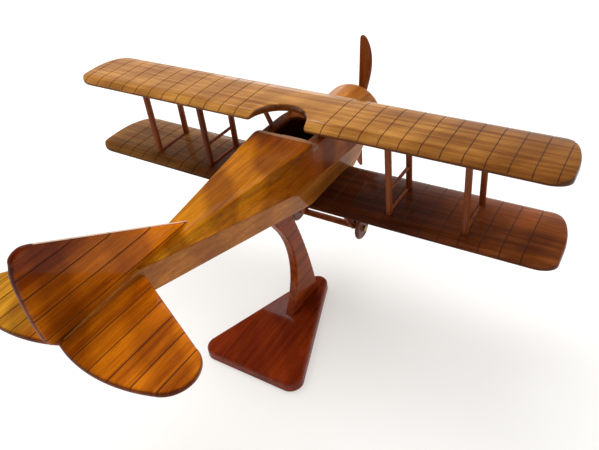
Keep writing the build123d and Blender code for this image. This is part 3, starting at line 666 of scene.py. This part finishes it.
def add_lower_wing(side_name, side):
    node_name = f"lower_wing_{side_name}"
    low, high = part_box(node_name)
    half_span = max(abs(low.x), abs(high.x)) / cos(LOWER_DIHEDRAL)
    spans = list(np.linspace(0, CUTOUT_RADIUS, 6)) + wing_spans(half_span)

    def aft(span, trailing):
        return tip_aft(span, half_span, trailing)

    def place(span, chord, height):
        outward = span * cos(LOWER_DIHEDRAL) - height * sin(LOWER_DIHEDRAL)
        return side * outward, chord, low.z + height * cos(LOWER_DIHEDRAL) + span * sin(LOWER_DIHEDRAL)

    add_wing_board(node_name, half_span, spans, aft, RIBS, place, open_root=True)


# ---------------------------------------------------------------- tail
TAIL_LEADING_END = (66.0 * MM, 134.6 * MM)
TAIL_TIP = (77.4 * MM, 148.0 * MM)
TAIL_TRAILING_START = (66.0 * MM, 165.0 * MM)
TAIL_TRAILING_MIDDLE = (36.0 * MM, 170.0 * MM)
TAIL_ROOT_REAR = (0.0, 163.5 * MM)
TAIL_RIBS = [(15.5 + 13.0 * k) * MM for k in range(5)]
TAIL_ROUND = 1.8 * MM
TAIL_RUB_AND_GLINT_HALF = 12 * MM
# Pale fore edges of the tail, partly real rubbing and partly a painted glint: strongest at the tailplane's
# root and on the fin.
TAIL_RUB_AND_GLINT_MIDDLE, TAIL_RUB_AND_GLINT_OUTSIDE = 0.8, 0.2
FIN_RUB_AND_GLINT = 0.6
FIN_RIBS = [z * MM for z in (166.8, 180.9, 194.7, 206.2)]
FIN_FOOT_HEIGHT = 165.64 * MM
FIN_SHOULDER = (154.0 * MM, 216.2 * MM)
FIN_TOP_Y = 160.4 * MM
FIN_REAR_HEIGHTS = [z * MM for z in (150.0, 161.0, 166.0, 176.0, 188.0, 198.0, 204.5, 209.5, 213.8)]
FIN_REAR_EDGE = [y * MM for y in (165.4, 167.0, 169.2, 170.25, 170.62, 170.55, 170.3, 169.4, 167.8)]


def add_tailplane():
    low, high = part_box("tailplane")
    root_front, thickness = low.y, high.z - low.z
    (tip_x, tip_y), tip_radius = circle_through(TAIL_LEADING_END, TAIL_TIP, TAIL_TRAILING_START)
    (rear_x, rear_y), rear_radius = circle_through(TAIL_TRAILING_START, TAIL_TRAILING_MIDDLE, TAIL_ROOT_REAR)

    def tip_depth(span):
        return sqrt(max(0.0, tip_radius**2 - (span - tip_x) ** 2))

    def fore(span):
        end_x, end_y = TAIL_LEADING_END
        if abs(span) <= end_x:
            return root_front + (end_y - root_front) * abs(span) / end_x
        return tip_y - tip_depth(abs(span))

    def aft(span):
        if abs(span) <= TAIL_TRAILING_START[0]:
            return rear_y + sqrt(rear_radius**2 - (abs(span) - rear_x) ** 2)
        return tip_y + tip_depth(abs(span))

    # Pale fore edge of the tailplane: partly real rubbing, partly a painted glint.
    def rub_and_glint_at(span):
        return TAIL_RUB_AND_GLINT_MIDDLE if abs(span) < TAIL_RUB_AND_GLINT_HALF else TAIL_RUB_AND_GLINT_OUTSIDE

    right = list(np.linspace(0, TAIL_LEADING_END[0], 30))
    right += eased(TAIL_LEADING_END[0], tip_x + tip_radius, 20)[1:]
    board(
        "tailplane_skin", "tailplane", mirrored_stations(right), fore, aft,
        lambda span, chord: 0.0, lambda span, chord: thickness, TAIL_ROUND, mirrored_stations(TAIL_RIBS),
        lambda span, chord, height: (span, chord, low.z + height), fore_rub_and_glint=rub_and_glint_at,
    )


def add_fin():
    low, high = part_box("fin_and_rudder")
    half = high.x
    shoulder_y, shoulder_z = FIN_SHOULDER
    rise = high.z - shoulder_z
    slope = (shoulder_y - low.y) / (shoulder_z - FIN_FOOT_HEIGHT)
    rear_top, rear_top_y = FIN_REAR_HEIGHTS[-1], FIN_REAR_EDGE[-1]

    def fore(height):
        over = min(1.0, max(0.0, height - shoulder_z) / rise)
        straight = low.y + slope * max(0.0, height - FIN_FOOT_HEIGHT)
        return straight + (FIN_TOP_Y - shoulder_y - slope * rise) * arc_drop(over)

    def aft(height):
        if height <= rear_top:
            return float(np.interp(height, FIN_REAR_HEIGHTS, FIN_REAR_EDGE))
        share = (height - rear_top) / (high.z - rear_top)
        return rear_top_y + (FIN_TOP_Y - rear_top_y) * arc_drop(share)

    spans = list(np.linspace(low.z, rear_top, 34)) + eased(rear_top, high.z, 16)[1:]
    board(
        "fin_and_rudder_skin", "fin_and_rudder", spans, fore, aft,
        lambda span, chord: -half, lambda span, chord: half, TAIL_ROUND, FIN_RIBS,
        lambda span, chord, height: (height, chord, span), both_faces=True,
        fore_rub_and_glint=lambda span: FIN_RUB_AND_GLINT if span < shoulder_z else 0.0,
    )


# ---------------------------------------------------------------- fuselage
LEVEL = 136.5 * MM
BELLY_HALF = 23.46 * MM
BELLY_BEND = (-37.4 * MM, 118.77 * MM)
CREASE_HALF = 26.0 * MM
CREASE_BEND = (-16.0 * MM, 141.9 * MM)
CREASE_SLOPE_FRONT, CREASE_SLOPE_REAR = 0.087, 0.185
HULL_FRONT = -121.0 * MM
NOSE_SHOULDER = ((HULL_FRONT, 26.2 * MM), (-98.0 * MM, 33.4 * MM), (-55.0 * MM, 36.4 * MM))
DECK_END = 108.0 * MM
STERN_LOW, STERN_HALVES = 144.94 * MM, (3.69 * MM, 5.09 * MM)
TAIL_END_LOW, TAIL_END_HIGH, TAIL_END_HALVES = 154.48 * MM, 160.6 * MM, (2.2 * MM, 2.6 * MM)
CREASE_ROUND = 0.35 * MM
DECK_ROUND = 1.2 * MM
CORNER_STEPS = 6
CORNER_SHARE = 0.45
ROUND_SHARE = 0.3
SIDE_STEPS = 12

FRONT_DECK_END = -42.0 * MM
FRONT_DECK_TOP = 163.6 * MM
FRONT_DECK_HALF = 25.2 * MM
REAR_DECK_LIP = 5.0 * MM
REAR_DECK_CROWN = 1.6 * MM
REAR_DECK_TOP, REAR_DECK_FALL = 166.5 * MM, 0.0138
REAR_DECK_HALF, REAR_DECK_TAPER = 19.2 * MM, 0.1424
REAR_DECK_FOOT_TAPER = 0.1686
REAR_DECK_THINNEST = 0.05 * MM
REAR_DECK_ROUNDS = (0.3 * MM, 1.4 * MM)
WELL_BOTTOM, WELL_TOP = LEVEL - 10 * MM, LEVEL + 60 * MM
RIM_HEIGHT = 163 * MM
RIM_RADIUS = 0.7 * MM
RIM_ANGLE = 35
FLAT_ANGLE = 0.4
NEAR = 0.01 * MM


def nose_radius(y):
    """Radius that rounds the nose down to the cowl."""
    (centre_y, centre_height), radius = circle_through(*NOSE_SHOULDER)
    if y > NOSE_SHOULDER[-1][0]:
        return 1.0
    return centre_height + sqrt(max(0.0, radius**2 - (y - centre_y) ** 2))


def rounded_section(low_half, high_half, height, low_round, high_round):
    """Points (x, height) round a four-sided section with soft corners, lowest side first."""
    shape = [Vector(at) for at in ((-low_half, 0), (low_half, 0), (high_half, height), (-high_half, height))]
    rounds = (low_round, low_round, high_round, high_round)
    points = []
    for k, here in enumerate(shape):
        before, after, beyond = (shape[(k + step) % 4] for step in (-1, 1, 2))
        arrive, leave = (before - here).normalized(), (after - here).normalized()
        side_before, side, side_after = (before - here).length, (after - here).length, (beyond - after).length
        half = arrive.angle(leave) / 2
        cut = min(rounds[k] / tan(half), CORNER_SHARE * side_before, CORNER_SHARE * side)
        radius = cut * tan(half)
        centre = here + (arrive + leave).normalized() * (radius / sin(half))
        start, end = here + arrive * cut, here + leave * cut
        first, last = (start - centre).normalized(), (end - centre).normalized()
        points += [centre + first.slerp(last, share) * radius for share in np.linspace(0, 1, CORNER_STEPS)]
        next_half = (here - after).angle(beyond - after) / 2
        next_cut = min(rounds[(k + 1) % 4] / tan(next_half), CORNER_SHARE * side, CORNER_SHARE * side_after)
        stop = after - leave * next_cut
        points += [end.lerp(stop, share) for share in np.linspace(0, 1, SIDE_STEPS + 1)[1:-1]]
    return points


def hull(keys, counts, low_round, high_round):
    """Rings of a lofted piece of the fuselage, rounded down to the cowl at its nose.

    A key is ((low y, low z), (high y, high z), low half width, high half width).
    """
    rings = []
    for first, second, count in zip(keys, keys[1:], counts):
        shares = np.linspace(0, 1, count + 1)
        for share in shares if second is keys[-1] else shares[:-1]:
            between = [np.multiply(a, 1 - share) + np.multiply(b, share) for a, b in zip(first, second)]
            low, high, low_half, high_half = between
            tall = float(np.hypot(*(high - low)))
            largest = ROUND_SHARE * min(tall, low_half)
            rounds = min(low_round, largest), min(high_round, largest)
            ring = []
            for x, up in rounded_section(low_half, high_half, tall, *rounds):
                y, z = low + (high - low) * (up / tall)
                drawn_in = min(1.0, nose_radius(y) / sqrt(x * x + (z - LEVEL) ** 2))
                ring.append((x * drawn_in, y, LEVEL + (z - LEVEL) * drawn_in))
            rings.append(ring)
    return rings


def crease(y):
    """Height of the crease between the two halves of the fuselage."""
    bend_y, bend_z = CREASE_BEND
    return bend_z + (CREASE_SLOPE_REAR if y > bend_y else CREASE_SLOPE_FRONT) * (y - bend_y)


def add_fuselage_body():
    low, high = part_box("fuselage_body")
    rings = hull(
        [
            ((low.y, low.z), (low.y, crease(low.y)), BELLY_HALF, CREASE_HALF),
            (BELLY_BEND, CREASE_BEND, BELLY_HALF, CREASE_HALF),
            ((DECK_END, STERN_LOW), (DECK_END, high.z), *STERN_HALVES),
            ((high.y, TAIL_END_LOW), (high.y, TAIL_END_HIGH), *TAIL_END_HALVES),
        ],
        (40, 16, 8), DECK_ROUND, CREASE_ROUND,
    )
    dress(bare_loft("fuselage_body_skin", rings), "fuselage_body", "airframe")


def rear_deck_rings():
    """Rings of the deck behind the cockpit, from its rounded lip to the stern."""
    turns = np.radians(np.linspace(0, 90, 10))
    stations = [COCKPIT_REAR + REAR_DECK_LIP * (1 - cos(turn)) for turn in turns]
    stations += [-40 * MM, -30 * MM, CREASE_BEND[0], *np.linspace(0, DECK_END, 16)]
    rings = []
    for y in stations:
        into = y - COCKPIT_REAR
        drawn_in = REAR_DECK_LIP * arc_drop(1 - min(1.0, into / REAR_DECK_LIP))
        lowered = REAR_DECK_CROWN * arc_drop(1 - min(1.0, into / REAR_DECK_CROWN))
        foot_half = CREASE_HALF - REAR_DECK_FOOT_TAPER * max(0.0, y - CREASE_BEND[0])
        top_half = min(FRONT_DECK_HALF, REAR_DECK_HALF - REAR_DECK_TAPER * y)
        top = REAR_DECK_TOP - REAR_DECK_FALL * y - lowered
        foot = min(crease(y), top - REAR_DECK_THINNEST)
        rounds = (min(wanted, ROUND_SHARE * (top - foot)) for wanted in REAR_DECK_ROUNDS)
        section = rounded_section(foot_half - drawn_in, top_half - drawn_in, top - foot, *rounds)
        rings.append([(x, y, foot + up) for x, up in section])
    return rings


def cockpit_rings():
    """Rings of the straight well that the cockpit is cut with."""
    side = COCKPIT_HALF - COCKPIT_CORNER
    front, rear = COCKPIT_FRONT + COCKPIT_CORNER, COCKPIT_REAR - COCKPIT_CORNER
    plan = []
    for turn, centre in enumerate(((side, rear), (-side, rear), (-side, front), (side, front))):
        plan += corner(centre, COCKPIT_CORNER, 90 * turn, 90 * turn + 90, 9)
    return [[(x, y, z) for x, y in plan] for z in (WELL_BOTTOM, WELL_TOP)]


def soften_rim(piece):
    """Rounds the upper rim of the cockpit."""
    work = bmesh.new()
    work.from_mesh(piece.data)
    bmesh.ops.remove_doubles(work, verts=work.verts, dist=MERGE)
    bmesh.ops.dissolve_limit(work, angle_limit=radians(FLAT_ANGLE), verts=work.verts, edges=work.edges)
    rim = []
    for edge in work.edges:
        ends = [end.co for end in edge.verts]
        along = all(COCKPIT_FRONT - NEAR < end.y < COCKPIT_REAR + NEAR for end in ends)
        across = all(abs(end.x) < COCKPIT_HALF + NEAR for end in ends)
        high = all(end.z > RIM_HEIGHT for end in ends)
        if along and across and high and edge.calc_face_angle(0.0) > radians(RIM_ANGLE):
            rim.append(edge)
    bmesh.ops.bevel(
        work, geom=rim, offset=RIM_RADIUS, segments=3, profile=0.5, affect="EDGES", clamp_overlap=True
    )
    work.to_mesh(piece.data)
    work.free()


def add_upper_deck():
    """Front deck with rounded shoulders, rear deck with a lip, cut through by the cockpit."""
    ends = (HULL_FRONT, FRONT_DECK_END)
    front_deck = [((y, crease(y)), (y, FRONT_DECK_TOP), CREASE_HALF, FRONT_DECK_HALF) for y in ends]
    deck = bare_loft("upper_deck_carved", hull(front_deck, (46,), CREASE_ROUND, DECK_ROUND))
    carve(deck, bare_loft("rear_deck", rear_deck_rings()), "UNION")
    carve(deck, bare_loft("cockpit_well", cockpit_rings()), "DIFFERENCE")
    soften_rim(deck)
    dress(deck, "upper_deck", "airframe", SHARPER_DECK_ANGLE)


COWL_FRONT = -156 * MM
COWL_LIP = 8 * MM
COWL_BOSS = 5.5 * MM
COWL_ROUND = 0.5 * MM
COWL_EYE = 0.2 * MM
# How far each ring of the dished face lies ahead of the lip, and its radius, in mm.
COWL_FACE = ((0.4, 14.0), (0.9, 8.0), (1.2, 6.7), (1.6, 5.8), (2.4, 5.5))


def add_cowl():
    """Turned cowl with a soft rear edge, a deep round lip and a boss."""
    low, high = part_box("nose_cowl")
    outer = high.x
    profile = [(high.y, COWL_EYE), (high.y, outer - 0.9 * MM)]
    profile += corner((high.y - COWL_ROUND, outer - COWL_ROUND), COWL_ROUND, 0, 90, 4)
    profile += [(y, outer) for y in np.linspace(high.y - 3 * MM, COWL_FRONT + COWL_LIP + 1 * MM, 9)]
    profile += corner((COWL_FRONT + COWL_LIP, outer - COWL_LIP), COWL_LIP, 90, 180, 13)
    profile += [(COWL_FRONT - ahead * MM, radius * MM) for ahead, radius in COWL_FACE]
    profile += corner((low.y + COWL_ROUND, COWL_BOSS - COWL_ROUND), COWL_ROUND, 90, 180, 4)
    profile.append((low.y, COWL_EYE))
    lathe("nose_cowl_turned", "nose_cowl", "airframe", profile, (0, 0, LEVEL), (0, 1, 0), 96)


# ---------------------------------------------------------------- propeller and wheels
HUB_HALF, HUB_RADIUS, HUB_ROUND, HUB_EYE = 3.5 * MM, 6.5 * MM, 1.2 * MM, 1.6 * MM
BLADE_TILT = radians(5)
BLADE_LENGTH = 65.8 * MM
BLADE_ROOT_SHARE, BLADE_TIP_SHARE, BLADE_END_SHARE = 0.045, 0.93, 0.9705
BLADE_TIP_ROUND = 0.0407
BLADE_THINNEST = 0.02
BLADE_FACE_FLATNESS = 0.75
# Widths in mm and pitch in degrees, at shares of the length of a blade.
BLADE = {
    "share": (0.06, 0.22, 0.45, 0.68, 0.87, 0.97),
    "chord": (7.0, 7.6, 10.0, 10.6, 8.0, 4.2),
    "thickness": (5.4, 4.4, 3.2, 2.5, 2.0, 1.5),
    "sweep": (0.0, 0.6, 2.0, 2.2, 0.6, -1.2),
    "pitch": (50, 38, 26, 19, 15, 13),
}


def blade_at(share):
    """Half chord, half thickness, sweep and pitch at a share of the blade, each on one smooth curve."""
    chord, thickness, sweep, pitch = (
        float(np.polynomial.Polynomial.fit(BLADE["share"], BLADE[row], 5)(share))
        for row in ("chord", "thickness", "sweep", "pitch")
    )
    tip = 1.0
    if share >= BLADE_TIP_SHARE:
        tip = max(BLADE_THINNEST, 1 - arc_drop((share - BLADE_TIP_SHARE) / BLADE_TIP_ROUND))
    return chord * MM / 2 * tip, thickness * MM / 2 * tip, sweep * MM, radians(pitch)


def blade_rings(middle, turn):
    """Rings of one blade, from inside the hub to its rounded tip."""
    outward = Vector((-sin(turn), 0, cos(turn)))
    across = Vector((-cos(turn), 0, -sin(turn)))
    shares = list(np.linspace(BLADE_ROOT_SHARE, BLADE_TIP_SHARE, 26))
    shares += eased(BLADE_TIP_SHARE, BLADE_END_SHARE, 9)[1:]
    rings = []
    for share in shares:
        chord, thickness, sweep, pitch = blade_at(share)
        twist = Matrix.Rotation(pitch, 3, outward)
        chordwise, face = twist @ across, twist @ Vector((0, 1, 0))
        place = middle + outward * share * BLADE_LENGTH + across * sweep
        ring = []
        for angle in np.linspace(0, 2 * pi, 29)[:-1]:
            bulge = thickness * sin(angle) * (1.0 if sin(angle) < 0 else BLADE_FACE_FLATNESS)
            ring.append(tuple(place + chordwise * chord * cos(angle) + face * bulge))
        rings.append(ring)
    return rings


def add_propeller():
    """Hub with rounded ends and two twisted blades, joined into one piece."""
    low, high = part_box("propeller")
    middle = Vector((0, (low.y + high.y) / 2, LEVEL))
    round_at, round_radius = HUB_HALF - HUB_ROUND, HUB_RADIUS - HUB_ROUND
    profile = [(-HUB_HALF, HUB_EYE), (-HUB_HALF, round_radius - 0.1 * MM)]
    profile += corner((-round_at, round_radius), HUB_ROUND, 180, 90, 6)
    profile += corner((round_at, round_radius), HUB_ROUND, 90, 0, 6)
    profile.append((HUB_HALF, HUB_EYE))
    angles = np.linspace(0, 2 * pi, 65)[:-1]
    rings = [
        [tuple(middle + Vector((radius * cos(angle), along, radius * sin(angle)))) for angle in angles]
        for along, radius in profile
    ]
    propeller = bare_loft("propeller_carved", rings)
    for turn in (BLADE_TILT, BLADE_TILT + pi):
        carve(propeller, bare_loft("blade", blade_rings(middle, turn)), "UNION")
    dress(propeller, "propeller", "propeller", SHARP_PROPELLER_ANGLE)


TYRE_DEPTH = 2.6 * MM
TYRE_HALF_INSET = 0.3 * MM
TYRE_END_ANGLE = 0.12
WHEEL_BORE = 1.25 * MM


def add_wheel(side_name):
    """Turned wheel with a rounded tyre, a dished face and a hub."""
    node_name = f"wheel_{side_name}"
    low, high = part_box(node_name)
    half, radius = (high.x - low.x) / 2, (high.z - low.z) / 2
    tread = radius - TYRE_DEPTH
    face = [
        (half, WHEEL_BORE), (half, 2.6 * MM), (half - 0.2 * MM, 3.1 * MM), (half - 0.9 * MM, 4.1 * MM),
        (half - 1.0 * MM, 4.8 * MM), (half - 0.7 * MM, tread - 1.0 * MM),
        (half - 0.75 * MM, tread - 0.5 * MM), (half - 0.35 * MM, tread),
    ]
    angles = np.linspace(TYRE_END_ANGLE, pi - TYRE_END_ANGLE, 15)
    crown = [((half - TYRE_HALF_INSET) * cos(angle), tread + TYRE_DEPTH * sin(angle)) for angle in angles]
    profile = face + crown + [(-along, radius) for along, radius in reversed(face)]
    lathe(node_name + "_turned", node_name, node_name, profile, (low + high) / 2, (1, 0, 0), hollow=True)


# ---------------------------------------------------------------- seat
SEAT_ROUND_REAR, SEAT_ROUND_FRONT, SEAT_ROUND_SIDE = 1.0 * MM, 1.8 * MM, 1.2 * MM
SEAT_PAD_DEPTH = 4.6 * MM
SEAT_LEDGE_HEIGHT = 3.5 * MM


def add_seat():
    """Seat with a deep padded back, rounded on every upper edge."""
    low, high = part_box("pilot_seat")
    front_y = low.y + SEAT_PAD_DEPTH
    profile = corner((high.y - SEAT_ROUND_REAR, high.z - SEAT_ROUND_REAR), SEAT_ROUND_REAR, 0, 90, 5)
    profile += corner((front_y + SEAT_ROUND_FRONT, high.z - SEAT_ROUND_FRONT), SEAT_ROUND_FRONT, 90, 162, 7)
    profile += [(low.y, low.z + SEAT_LEDGE_HEIGHT), (low.y, low.z), (high.y, low.z)]
    centre = Vector(((low.y + high.y) / 2, (low.z + high.z) / 2))
    points = []
    turns = np.linspace(0, 90, 6)
    for side, angles in ((-1, turns), (1, turns[::-1])):
        for angle in np.radians(angles):
            drawn_in = SEAT_ROUND_SIDE * (1 - sin(angle))
            x = side * (high.x - SEAT_ROUND_SIDE * (1 - cos(angle)))
            for at in profile:
                spoke = Vector(at) - centre
                points.append((x, *(centre + spoke * (1 - drawn_in / spoke.length))))
    faces = loft_faces(len(points) // len(profile), len(profile))
    new_piece("pilot_seat_padded", "pilot_seat", "airframe", points, faces)


add_upper_wing()
add_seat()
for side_name, side in (("port", 1), ("starboard", -1)):
    add_lower_wing(side_name, side)
    add_wheel(side_name)
add_tailplane()
add_fin()
add_fuselage_body()
add_upper_deck()
add_cowl()
add_propeller()


# ---------------------------------------------------------------- floor, light, camera
def direction(azimuth, elevation):
    """Unit vector away from the model, from degrees. Azimuth 0 is ahead of the nose, 90 to port."""
    turn, rise = radians(azimuth), radians(elevation)
    return Vector((sin(turn) * cos(rise), -cos(turn) * cos(rise), sin(rise)))


def add_floor():
    """A pale flat floor that runs out of view behind the model."""
    reach = 4.0
    mesh = bpy.data.meshes.new("floor")
    mesh.from_pydata(
        [(-reach, -reach, 0), (reach, -reach, 0), (reach, reach, 0), (-reach, reach, 0)], [], [(0, 1, 2, 3)]
    )
    material, _, _ = new_material(
        "floor_paper", Base_Color=(0.58, 0.575, 0.565, 1.0), Roughness=0.9, Specular_IOR_Level=0.1,
        Emission_Color=(1.0, 0.995, 0.97, 1.0), Emission_Strength=0.46,
    )
    mesh.materials.append(material)
    floor = link("floor", mesh)


def add_softbox(name, azimuth, elevation, distance, size, watts, mirrored=True):
    """An area light, (width, height), that faces the model. Varnish shows its reflection if mirrored."""
    light = bpy.data.lights.new(name, "AREA")
    light.shape = "RECTANGLE"
    light.size, light.size_y = size
    light.energy = watts
    lamp = link(name, light)
    back = direction(azimuth, elevation)
    lamp.location = Vector((0, 0, 0.12)) + back * distance
    lamp.rotation_euler = (-back).to_track_quat("-Z", "Y").to_euler()
    lamp.visible_glossy = mirrored


def add_camera():
    """The camera stands behind the starboard tailplane and looks down over the model, slightly rolled."""
    target, distance = Vector((-68.95, 9.0, 158.5)) * MM, 385.7 * MM
    back = direction(212.87, 35.99)
    roll = radians(-5.24)
    level_right = (-back).cross(Vector((0, 0, 1))).normalized()
    level_up = level_right.cross(-back)
    right = cos(roll) * level_right + sin(roll) * level_up
    up = cos(roll) * level_up - sin(roll) * level_right
    data = bpy.data.cameras.new("camera")
    data.lens = 37.34
    data.sensor_width = 36.0
    data.shift_x = -0.051
    data.shift_y = -0.025
    data.clip_start, data.clip_end = 0.01, 20.0
    camera = link("camera", data)
    turned = Matrix((right, up, back)).transposed().to_4x4()
    camera.matrix_world = Matrix.Translation(target + back * distance) @ turned
    bpy.context.scene.camera = camera


def add_world():
    """A room with bright walls near the horizon, a dim ceiling, and half the light from behind the tail."""
    world = bpy.data.worlds.new("room")
    world.use_nodes = True
    tree = world.node_tree
    place = split_axes(tree, "Generated")
    bright, middle, dim = (0.80, 0.79, 0.77), (0.40, 0.39, 0.37), (0.10, 0.095, 0.09)
    walls = ramp(tree, place["Z"], {0.44: bright, 0.54: middle, 0.64: dim})
    walls = blend_colour(tree, "MULTIPLY", ease_in(tree, place["Y"], 0.0, 1.0), walls, (0.5, 0.5, 0.5, 1.0))
    tree.links.new(walls, tree.nodes["Background"].inputs["Color"])
    bpy.context.scene.world = world
    bpy.context.scene.view_settings.view_transform = "Standard"


add_floor()
add_world()
add_camera()
add_softbox("overhead", 50, 70, 1.6, (1.9, 1.9), 41.0, mirrored=False)
add_softbox("front_window", 33, 9, 1.8, (0.4, 0.4), 0.8)
add_softbox("high_window", 45, 41.5, 1.6, (0.42, 0.13), 0.62)
